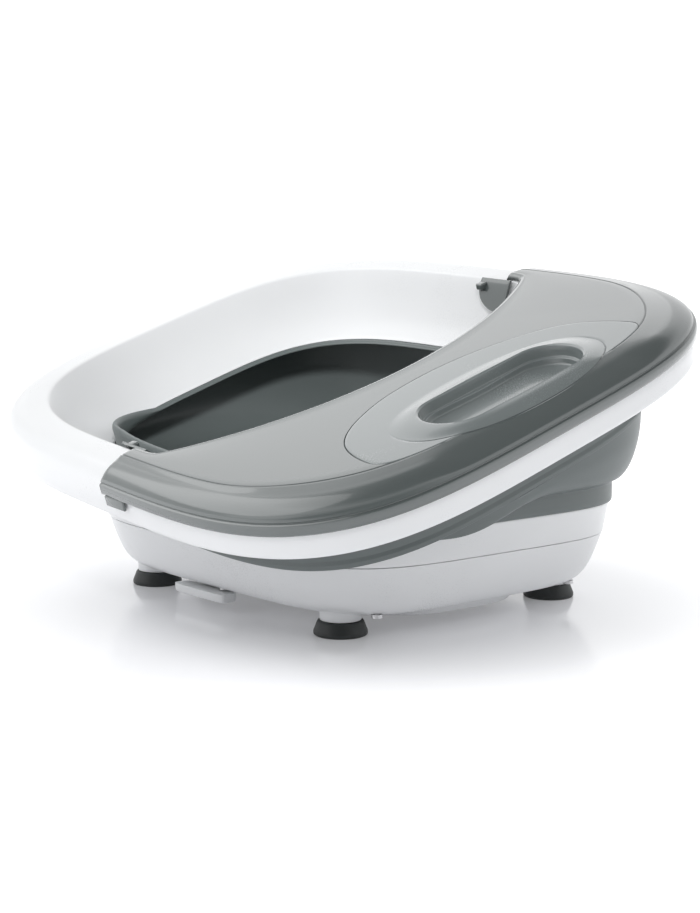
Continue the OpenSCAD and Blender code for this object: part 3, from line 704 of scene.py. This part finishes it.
def matching_rim(u):
    """The rim outline point for a base station: the same share of the way round each quadrant."""
    a = np.arctan2(np.sign(u[:, 1]) * np.abs(u[:, 1]) ** (BASE_N / 2),
                   np.sign(u[:, 0]) * np.abs(u[:, 0]) ** (BASE_N / 2))
    c, s = np.cos(a), np.sin(a)
    return np.stack([np.sign(c) * np.abs(c) ** (2 / RIM_N), np.sign(s) * np.abs(s) ** (2 / RIM_N)], 1)


RB = matching_rim(BU)
FEET = to_world(np.concatenate([rim_xy(RB, RING_INSET + 1.5), np.full((N_B, 1), -2.3 - RING_H)], 1)) - BASE


def bellows_line(rt, zt):
    w = float(smooth((zt - BASE_TOP - 2) / 30))
    z0 = BASE_TOP + 0.47
    c = BASE_TOP + COLLAR_H
    folded = np.array([[-13.4, z0], [-22, z0 + 0.8], [-27, z0 + 6], [-27, z0 + 12], [-23, z0 + 13],
                       [-20.6, z0 + 8], [-19, z0 + 2.4],
                       [-15, z0 + 1.1], [0.6, z0 + 0.1], [1.2, z0 + 0.5], [1.8, z0 + 0.8], [2.6, z0 + 0.6],
                       [rt - 7, z0 - 1],
                       [rt - 4.4, z0 - 3], [rt - 3.2, zt - 0.3], [rt, zt]])
    raised = np.array([[-13.4, z0], [-12, z0], [-11, z0], [-10, z0], [-9, z0], [-8, z0], [-7, z0], [-5, z0],
                       [1.0, z0 + 0.3],
                       [1.6, mix(z0, c, 0.4)], [1.6, mix(z0, c, 0.8)], [1.9, c + 0.4],
                       [mix(2, rt, 0.36), mix(c, zt, 0.1)],
                       [mix(2, rt, 0.66), mix(c, zt, 0.27)], [mix(2, rt, 0.93), mix(c, zt, 0.62)], [rt, zt]])
    return mix(folded, raised, w)


def skinned(line2, t):
    d = np.gradient(line2, axis=0)
    d /= np.maximum(np.hypot(d[:, 0], d[:, 1]), 1e-6)[:, None]
    n = np.stack([d[:, 1], -d[:, 0]], 1) * t / 2
    return np.concatenate([line2 + n, (line2 - n)[::-1]])


loops, SUB = [], 4
for k in range(N_B):
    b = np.append(base_xy(BU[k], 0) - BASE[:2], 0)
    f = FEET[k]
    out = f[:2] - b[:2]
    reach = float(np.hypot(*out))
    d2 = out / reach
    ln = spline(bellows_line(reach, f[2]), SUB)
    sk = skinned(ln, SKIN)
    loops.append(np.stack([b[0] + d2[0] * sk[:, 0], b[1] + d2[1] * sk[:, 0], sk[:, 1]], 1))
loops = np.array(loops).transpose(1, 0, 2) + BASE
lower = mesh_of("bellows_lower", loops.reshape(-1, 3), grid_faces(loops.shape[0], N_B, True, True), 60, SOFT)


def set_blend(ob, a, b, start, end, cols, weights):
    """Bends ob between two bodies, with the share given row by row instead of along one line."""
    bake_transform(ob, a, b, start=start, end=end)
    att = ob.data.attributes["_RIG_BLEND"]
    w = np.repeat(np.asarray(weights, np.float32), cols)
    count = len(ob.data.vertices)
    assert len(w) == count, f"{ob.name}: {len(w)} weights for {count} vertices"
    att.data.foreach_set("value", w)
    return ob


half_w = np.linspace(0, 1, loops.shape[0] // 2)
set_blend(lower, "base", "ring", (0, 0, 0.075), (0, 0, 0.16), N_B, np.concatenate([half_w, half_w[::-1]]))
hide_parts("lower_bellows")

WALL_INSET = 66.0
RIM_Z = to_world(np.concatenate([rim_xy(RU, WALL_INSET), np.zeros((N_RIM, 1))], 1))[:, 2]
# the rim plane's height once everything is folded flat,
# and how low the sheet may hang there without meeting the base
FLAT_Z = 91.8
BASE_GAP = 2.0
FLAT_FLOOR = BASE_TOP + BASE_GAP - FLAT_Z
# the lobe stands highest where the rim is lowest, and sinks to a low bead where the rim is high
LOBE_TOP, LOBE_BEAD, LOBE_SLOPE, LOBE_FROM = 10.0, 3.5, 0.83, 108
LOBE = np.clip(9 - LOBE_SLOPE * (RIM_Z - LOBE_FROM), FLAT_FLOOR + LOBE_BEAD, LOBE_TOP)


def fold_path(lobe, under):
    """Upper bellows from the ring, down and under the rim's wall to an inner lobe, and back up to the rim."""
    i = RING_INSET + 3.35
    low = -7.0
    return np.array([[i, low + 1.4], [i + 5, low - 0.6], [i + 14, -13], [60, under + 0.6], [68.5, under],
                     [72.2, mix(under, lobe, 0.5)], [71.6, lobe - 1.5], [70, lobe], [68.4, lobe - 2.0],
                     [68.3, mix(under, lobe, 0.5)],
                     [66.6, under + 2.0], [58, under + 2.6], [i + 13, -10.6], [i + 6.2, low + 2.2],
                     [i + 4.8, -3.0],
                     [i + 4.8, 1.6]])


up_loops = []
for k in range(N_RIM):
    under = max(FLAT_FLOOR, (BASE_TOP + BASE_GAP - RIM_Z[k]) / math.cos(TILT))
    ln = spline(fold_path(float(LOBE[k]), under), 4)
    sk = skinned(ln, SKIN)
    xy = np.array([rim_xy(RU[k], i) for i in sk[:, 0]])
    up_loops.append(to_world(np.concatenate([xy, sk[:, 1:2]], 1)))
up_loops = np.array(up_loops).transpose(1, 0, 2)
upper = mesh_of("bellows_upper", up_loops.reshape(-1, 3), grid_faces(up_loops.shape[0], N_RIM, True, True),
                60, SOFT)
half_w = np.linspace(0, 1, up_loops.shape[0] // 2)
set_blend(upper, "ring", "rim", (0, 0, 0.1), (0, 0, 0.2), N_RIM, np.concatenate([half_w, half_w[::-1]]))
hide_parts("upper_bellows")

# ---------------------------------------------------------------- base
def base_row(i, h):
    """One row of a base shell: its outline inset by i, at height h."""
    return np.concatenate([base_xy(BU, i), np.full((N_B, 1), float(h))], 1)


band_line = fillet([[3.3, SEAM_Z + 0.35], [1.8, 62], [0.25, BASE_TOP - 1.2], [0.25, BASE_TOP],
                    [3.1, BASE_TOP], [3.2, BASE_TOP - 2.8], [6, 58],
                    [9.4, 55.5], [11.2, 46], [9.4, 46], [7.4, SEAM_Z + 0.35]],
                    [0.55, 0, 0.8, 0.8, 0.3, 0.3, 1.5, 0.8, 0.5, 0.5, 0.3], 4, True)
bb = band("base_upper_band", [base_row(i, h) for i, h in band_line], WHITE, 50)
done(bb, "base", "white_shell", "base_band")

outer = spline([[60, PAN_Z], [40, PAN_Z + 0.0], [29, PAN_Z + 0.6], [20, PAN_Z + 3.5], [14.5, PAN_Z + 8.5],
                [11, PAN_Z + 15], [8, PAN_Z + 23], [5.6, PAN_Z + 30.5],
                [3.95, SEAM_Z - 0.9]], 4)
lip = fillet([[3.95, SEAM_Z - 0.9], [3.85, SEAM_Z - 0.15], [6.9, SEAM_Z - 0.15], [8.8, PAN_Z + 30.5]],
             [0, 0.5, 0.5, 0], 3)
inner = spline([[8.8, PAN_Z + 30.5], [11.2, PAN_Z + 23.5], [14.3, PAN_Z + 16], [17.6, PAN_Z + 10.6],
                [22, PAN_Z + 6.6], [30, PAN_Z + 3.7], [60, PAN_Z + 3]], 3)
pan_rows = [base_row(i, h) for i, h in np.concatenate([outer[:-1], lip, inner[1:]])]
pan = cup("base_lower_pan", pan_rows, WHITE, 50)
parts = [pan]
for fx in (-FOOT_X, FOOT_X):
    for fy in (-FOOT_Y, FOOT_Y):
        prof = [(0.01, FOOT_H + 6), (2.6, FOOT_H + 6), (2.6, FOOT_H), (POST_R - 1.0, FOOT_H),
                (POST_R - 0.25, FOOT_H + 0.25), (POST_R, FOOT_H + 1.0),
                (POST_R + 0.1, FOOT_H + 4), (POST_R + 0.5, FOOT_H + 6.2), (POST_R + 1.8, FOOT_H + 8.2),
                (POST_R + 2.5, FOOT_H + 10), (0.01, FOOT_H + 10)]
        rowz = lathe(prof, 72) + BASE + np.array([fx, fy, 0])
        parts.append(band("post", rowz, WHITE, 40, close_v=False))
pan = join(parts, "base_lower_pan")
done(pan, "base", "white_shell", "base_pan")

foot_parts = []
for fx in (-FOOT_X, FOOT_X):
    for fy in (-FOOT_Y, FOOT_Y):
        prof = fillet([(5, 4.0), (5, 0.0), (FOOT_R - 0.8, 0.0), (FOOT_R, 0.9), (FOOT_R, 2.8),
                       (FOOT_R - 2.4, FOOT_H - 1.1), (FOOT_R - 3.0, FOOT_H - 0.15),
                       (2.3, FOOT_H - 0.15), (2.3, 4.0)], [0.3, 0.5, 0.5, 0.5, 0.8, 0.6, 0.5, 0.1, 0.3], 3,
                       True)
        foot_parts.append(band("foot", lathe(prof, 96) + BASE + np.array([fx, fy, 0]), RUBBER, 40))
feet = join(foot_parts, "rubber_feet")
done(feet, "base", "black_rubber", "foot_pads")

# bottom cover: shallow tray with a side skid
def rounded_tray(w, l, z0, z1, r, n=3.2, count=200):
    u = unit_outline(count, n, w, l)
    prof = fillet([[w * 0.6, z0], [0, z0], [-2.2, z1 - 1], [-2.2, z1], [w * 0.6, z1]], [0, r, 0.6, 0.6, 0], 5)
    out = []
    for i, h in prof:
        out.append(np.stack([(w - i) * u[:, 0], (l - i) * u[:, 1], np.full(count, h)], 1) + BASE)
    return out


tray = cup("tray", rounded_tray(76, 128, 7.0, PAN_Z - 0.2, 2.2), WHITE, 50)
skids = []
for cx, cy, hw, hl, z0 in ((-117, 17, 7, 30, 7.5), (-94, 17, 20, 17, 10.0)):
    u = unit_outline(120, 6, hw, hl)
    prof = fillet([[hw * 0.7, z0], [0.0, z0], [-0.3, PAN_Z - 0.4], [hw * 0.7, PAN_Z - 0.2]],
                  [0, 1.6, 0.4, 0], 4)
    rws = [np.stack([(hw - i) * u[:, 0] + cx, (hl - i) * u[:, 1] + cy, np.full(120, h)], 1) + BASE for i,
           h in prof]
    skids.append(cup("skid", rws, WHITE, 50))
cover = join([tray, *skids], "bottom_cover_tray")
done(cover, "base", "white_shell", "bottom_cover")

# ---------------------------------------------------------------- tub
tub_line = np.concatenate([
    spline([[60, FLOOR_Z - 3], [36, FLOOR_Z - 3], [25, FLOOR_Z - 2.4], [18.5, FLOOR_Z + 1.5], [15.6, 56],
            [13.6, 66], [12.9, BASE_TOP - 2.6]], 4),
    fillet([[12.9, BASE_TOP - 2.6], [3.6, BASE_TOP - 2.6], [3.6, BASE_TOP], [13.8, BASE_TOP], [15.8, 66]],
           [0, 0.4, 0.9, 1.6, 0], 4)[1:-1],
    spline([[15.8, 66], [18, 57], [20.8, FLOOR_Z + 3.4], [26.5, FLOOR_Z + 0.6], [36, FLOOR_Z],
            [60, FLOOR_Z]], 4)])
tub = cup("tub_inner", [base_row(i, h) for i, h in tub_line], TUBM, 50)
done(tub, "base", "tub_grey", "tub")

# ---------------------------------------------------------------- rollers and button
for name, sx in (("left", -1), ("right", 1)):
    prof = [(2.6, -ROLLER_L / 2), (9.2, -ROLLER_L / 2), (10.0, -ROLLER_L / 2 + 0.8)]
    for k in range(6):
        c = -ROLLER_L / 2 + 5 + k * (ROLLER_L - 10) / 5
        for t in np.linspace(-1, 1, 13):
            prof.append((10.0 + 4.0 * math.cos(t * math.pi / 2) ** 0.8, c + t * 4.6))
    prof += [(10.0, ROLLER_L / 2 - 0.8), (9.2, ROLLER_L / 2), (2.6, ROLLER_L / 2)]
    rws = lathe(prof, 96)
    th = np.linspace(0, 2 * math.pi, 96, endpoint=False)
    ripple = 1 + 0.045 * np.cos(th * 8)
    rr = np.hypot(rws[..., 0], rws[..., 1])
    k2 = np.where(rr > 10.5, ripple[None, :], 1.0)
    rws[..., 0] *= k2
    rws[..., 1] *= k2
    scale_max = np.hypot(rws[..., 0], rws[..., 1]).max() / ROLLER_R
    if scale_max > 1:
        over = np.hypot(rws[..., 0], rws[..., 1]) > 10.5
        rws[..., 0] = np.where(over, rws[..., 0] / scale_max, rws[..., 0])
        rws[..., 1] = np.where(over, rws[..., 1] / scale_max, rws[..., 1])
    turned = np.stack([rws[..., 2], rws[..., 0], rws[..., 1]],
                      -1) + BASE + np.array([sx * ROLLER_X, ROLLER_Y, AXLE_Z])
    ob = band("massage_roller_" + name, turned, WHITE, 45)
    done(ob, name + "_roller", "white_shell", "roller_" + name)

cap_prof = [(0.01, 39.0), (5.4, 39.0), (6.0, 39.6), (6.0, 50.4), (15.4, 50.4), (16.0, 51.0), (16.0, 52.2),
            (15.6, 53.2), (14.4, 54.3), (11.5, 55.4),
            (9.2, 55.9), (8.6, 55.6), (7.9, 55.6), (7.2, 56.0), (4.0, 56.3), (0.01, 56.4)]
cap = band("toe_button", lathe(cap_prof, 96) + BASE + np.array([0, BUTTON_Y, 0]), LENS, 40, close_v=False)
done(cap, "button", "light_grey", "button_cap")

# ---------------------------------------------------------------- guard clips
def clip_piece(sgn, heel_y):
    """Tongue inside the wall, with a rounded lower corner, and a small hook on it."""
    wall_in = np.array([[32.2, 33.2], [34.4, 30.8], [37.6, 26.4], [41.2, 20.6], [44.8, 14.2], [46.2, 12.0]])
    wl = spline(wall_in, 5)
    rows_ = []
    for off in (1.0, 3.2):
        layer = []
        for q, (i, h) in enumerate(wl):
            f = min(1.0, (33.2 - h) / 21.2)
            y1 = heel_y - 0.5 - 24.0 * (1 - math.sqrt(max(0.0, 1 - (max(0.0, f - 0.15) / 0.85) ** 2.2)))
            y0 = heel_y - 30.0
            layer.append([(i + off * 0.8, mix(y0, y1, t), h + off * 0.35) for t in np.linspace(0, 1, 13)])
        rows_.append(layer)
    verts_, faces_ = [], []
    m, n = len(wl), 13
    for layer in rows_:
        for r in layer:
            for i, y, h in r:
                uy = y / RIM_HL
                ux = sgn * (1 - abs(uy) ** RIM_N) ** (1 / RIM_N)
                x = (RIM_HW - i) * ux * (1 - RIM_TAPER * uy)
                verts_.append([x, y, h])
    for s_ in (0, 1):
        faces_ += grid_faces(m, n, False, False, s_ * m * n)
    edge_loop = [j * n for j in range(m)] + [(m - 1) * n + i for i in range(1,
            n)] + [j * n + n - 1 for j in range(m - 2, -1, -1)] + [i for i in range(n - 2, 0, -1)]
    for a, b in zip(edge_loop, edge_loop[1:] + edge_loop[:1]):
        faces_.append((a, b, b + m * n, a + m * n))
    ob = mesh_of("clip", to_world(np.array(verts_)), faces_, 40, GUARD)
    modify(ob, "BEVEL", width=0.0005, segments=2, limit_method="ANGLE", angle_limit=math.radians(50))
    bake_modifiers(ob, 45)
    return ob


def small_block(cx, cy, cz, sx, sy, sz, mat, r=0.8):
    v = [[cx + a * sx / 2, cy + b * sy / 2, cz + c * sz / 2] for a in (-1, 1) for b in (-1, 1) for c in (-1,
            1)]
    f = [(0, 1, 3, 2), (4, 6, 7, 5), (0, 4, 5, 1), (2, 3, 7, 6), (0, 2, 6, 4), (1, 5, 7, 3)]
    ob = mesh_of("block", to_world(np.array(v)), f, 40, mat)
    modify(ob, "BEVEL", width=r / 1000, segments=4, limit_method="NONE")
    bake_modifiers(ob, 45)
    return ob


clip_parts = []
for sgn in (-1, 1):
    end_y = LEFT_END if sgn < 0 else RIGHT_END
    wide = RIM_HW * (1 + RIM_TAPER * (28 + end_y) / RIM_HL)
    clip_parts.append(clip_piece(sgn, 25 - end_y))
    clip_parts.append(small_block(sgn * (RIM_HW - 39.5), 21.0 - end_y, 29.5, 8.0, 7.0, 5.0, GUARD, 1.2))
    clip_parts.append(small_block(sgn * (wide + 2.5), -end_y - 15.0, GUARD_LOW - 3.4, 2.2, 22.0, 7.6, GUARD,
                                  1.05))
clips = join(clip_parts, "guard_end_clips")
done(clips, "guard", "grey_guard", "guard_clips")

# ---------------------------------------------------------------- carried-over pieces
FINISH = {
    "cover_screws": STEEL, "foot_screws": STEEL, "tub_screws": STEEL, "rim_screws": STEEL,
    "roller_axles": STEEL, "shaft_weight": STEEL,
    "heater_plate": ALU, "motor_can": CAN, "thermal_cutout": BLACK, "button_switch": BLACK,
    "cord_gland": BLACK, "gland_nut": BLACK,
    "control_board": BOARD, "motor_clamp": WHITE, "button_boot": RUBBER, "guard_pads": RUBBER,
    "roller_cradles": LENS, "rim_retainer": SOFT}
for node, mat in FINISH.items():
    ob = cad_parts[node]
    ob.data.materials.clear()
    ob.data.materials.append(mat)

# ---------------------------------------------------------------- floor, light and camera
fl = bpy.data.meshes.new("floor")
fl.from_pydata([(-60, -60, 0), (60, -60, 0), (60, 60, 0), (-60, 60, 0)], [], [(0, 1, 2, 3)])
floor = bpy.data.objects.new("floor", fl)
bpy.context.scene.collection.objects.link(floor)
FLOOR = moulded("studio_floor", (0.82, 0.82, 0.85), 0.13, var=0.002, grain=40, bump=0.0, spec=0.55,
                rough_var=0.01, glow=0.5)
# a light table: dim under the basin, where the floor mirrors it, and white further out
ft = FLOOR.node_tree
floor_bsdf = next(n for n in ft.nodes if n.type == "BSDF_PRINCIPLED")
where = ft.nodes.new("ShaderNodeTexCoord")
span = ft.nodes.new("ShaderNodeVectorMath")
span.operation = "LENGTH"
table = ft.nodes.new("ShaderNodeMapRange")
table.interpolation_type = "SMOOTHSTEP"
for key, value in (("From Min", 0.12), ("From Max", 0.40), ("To Min", 0.10), ("To Max", 0.62)):
    table.inputs[key].default_value = value
ft.links.new(where.outputs["Object"], span.inputs[0])
ft.links.new(span.outputs["Value"], table.inputs["Value"])
ft.links.new(table.outputs["Result"], floor_bsdf.inputs["Emission Strength"])
fl.materials.append(FLOOR)

world = bpy.data.worlds.new("studio")
bpy.context.scene.world = world
world.use_nodes = True
wt = world.node_tree
wt.nodes.clear()
wout = wt.nodes.new("ShaderNodeOutputWorld")
bg = wt.nodes.new("ShaderNodeBackground")
bg_cam = wt.nodes.new("ShaderNodeBackground")
bg_cam.inputs["Color"].default_value = (1, 1, 1, 1)
bg_cam.inputs["Strength"].default_value = 1.05
mixs = wt.nodes.new("ShaderNodeMixShader")
lp = wt.nodes.new("ShaderNodeLightPath")
tc = wt.nodes.new("ShaderNodeTexCoord")
# the sky is darker toward the viewer and in a patch overhead, which is what the roll mirrors
dark = []
for aim, start, full, shade_to in (((-0.62, -0.78, 0.05), 0.35, 0.92, 0.16),
                                   ((0.15, 0.02, 0.99), 0.78, 0.94, 0.12)):
    dot = wt.nodes.new("ShaderNodeVectorMath")
    dot.operation = "DOT_PRODUCT"
    dot.inputs[1].default_value = Vector(aim).normalized()
    wr = wt.nodes.new("ShaderNodeMapRange")
    wr.interpolation_type = "SMOOTHSTEP"
    wr.inputs["From Min"].default_value = start
    wr.inputs["From Max"].default_value = full
    wr.inputs["To Min"].default_value = 1.0
    wr.inputs["To Max"].default_value = shade_to
    wt.links.new(tc.outputs["Generated"], dot.inputs[0])
    wt.links.new(dot.outputs["Value"], wr.inputs["Value"])
    dark.append(wr)
both = wt.nodes.new("ShaderNodeMath")
both.operation = "MULTIPLY"
wt.links.new(dark[0].outputs["Result"], both.inputs[0])
wt.links.new(dark[1].outputs["Result"], both.inputs[1])
power = wt.nodes.new("ShaderNodeMath")
power.operation = "MULTIPLY"
power.inputs[1].default_value = 1.03
wt.links.new(both.outputs[0], power.inputs[0])
wt.links.new(power.outputs[0], bg.inputs["Strength"])
bg.inputs["Color"].default_value = (0.985, 0.993, 1.0, 1)
wt.links.new(lp.outputs["Is Camera Ray"], mixs.inputs["Fac"])
wt.links.new(bg.outputs[0], mixs.inputs[1])
wt.links.new(bg_cam.outputs[0], mixs.inputs[2])
wt.links.new(mixs.outputs[0], wout.inputs["Surface"])


def area_light(name, loc, target, size, power, color=(1, 1, 1)):
    li = bpy.data.lights.new(name, "AREA")
    li.shape = "RECTANGLE"
    li.size, li.size_y = size
    li.energy = power
    li.color = color
    ob = bpy.data.objects.new(name, li)
    bpy.context.scene.collection.objects.link(ob)
    ob.location = loc
    ob.rotation_mode = "QUATERNION"
    ob.rotation_quaternion = (Vector(target) - Vector(loc)).to_track_quat("-Z", "Y")
    return ob


sun = bpy.data.lights.new("sky_soft", "SUN")
sun.energy = 0.75
sun.angle = math.radians(50)
sun_ob = bpy.data.objects.new("sky_soft", sun)
bpy.context.scene.collection.objects.link(sun_ob)
sun_ob.rotation_mode = "QUATERNION"
sun_ob.rotation_quaternion = Vector((0.40, -0.55, -0.85)).to_track_quat("-Z", "Y")
area_light("left_soft", (-1.9, 0.3, 0.9), (0, 0, 0.12), (1.2, 1.2), 2)
back = area_light("back_sheen", (1.15, 2.15, 1.85), (0, 0, 0.15), (2.6, 1.9), 5.5)
back.visible_diffuse = False
back.visible_camera = False
spot = bpy.data.lights.new("inner_spot", "SPOT")
spot.energy = 80
spot.spot_size = math.radians(15)
spot.spot_blend = 1.0
spot.shadow_soft_size = 0.12
spot_ob = bpy.data.objects.new("inner_spot", spot)
bpy.context.scene.collection.objects.link(spot_ob)
spot_ob.location = (-0.80, -1.05, 1.0)
spot_ob.rotation_mode = "QUATERNION"
spot_ob.rotation_quaternion = (Vector((0.03, 0.10, 0.14)) - spot_ob.location).to_track_quat("-Z", "Y")
spot_ob.visible_glossy = False

cam_data = bpy.data.cameras.new("camera")
cam = bpy.data.objects.new("camera", cam_data)
bpy.context.scene.collection.objects.link(cam)
cam.location = (-0.8510, -1.0663, 0.2844)
cam.rotation_mode = "QUATERNION"
cam.rotation_quaternion = (Vector((0.0134, -0.0042, 0.100)) - Vector(cam.location)).to_track_quat("-Z", "Y")
cam_data.sensor_width = 36
cam_data.lens = 74.85
cam_data.shift_x = 0.0023
cam_data.shift_y = -0.0032
cam_data.clip_end = 200
bpy.context.scene.camera = cam
bpy.context.scene.view_settings.view_transform = "Standard"
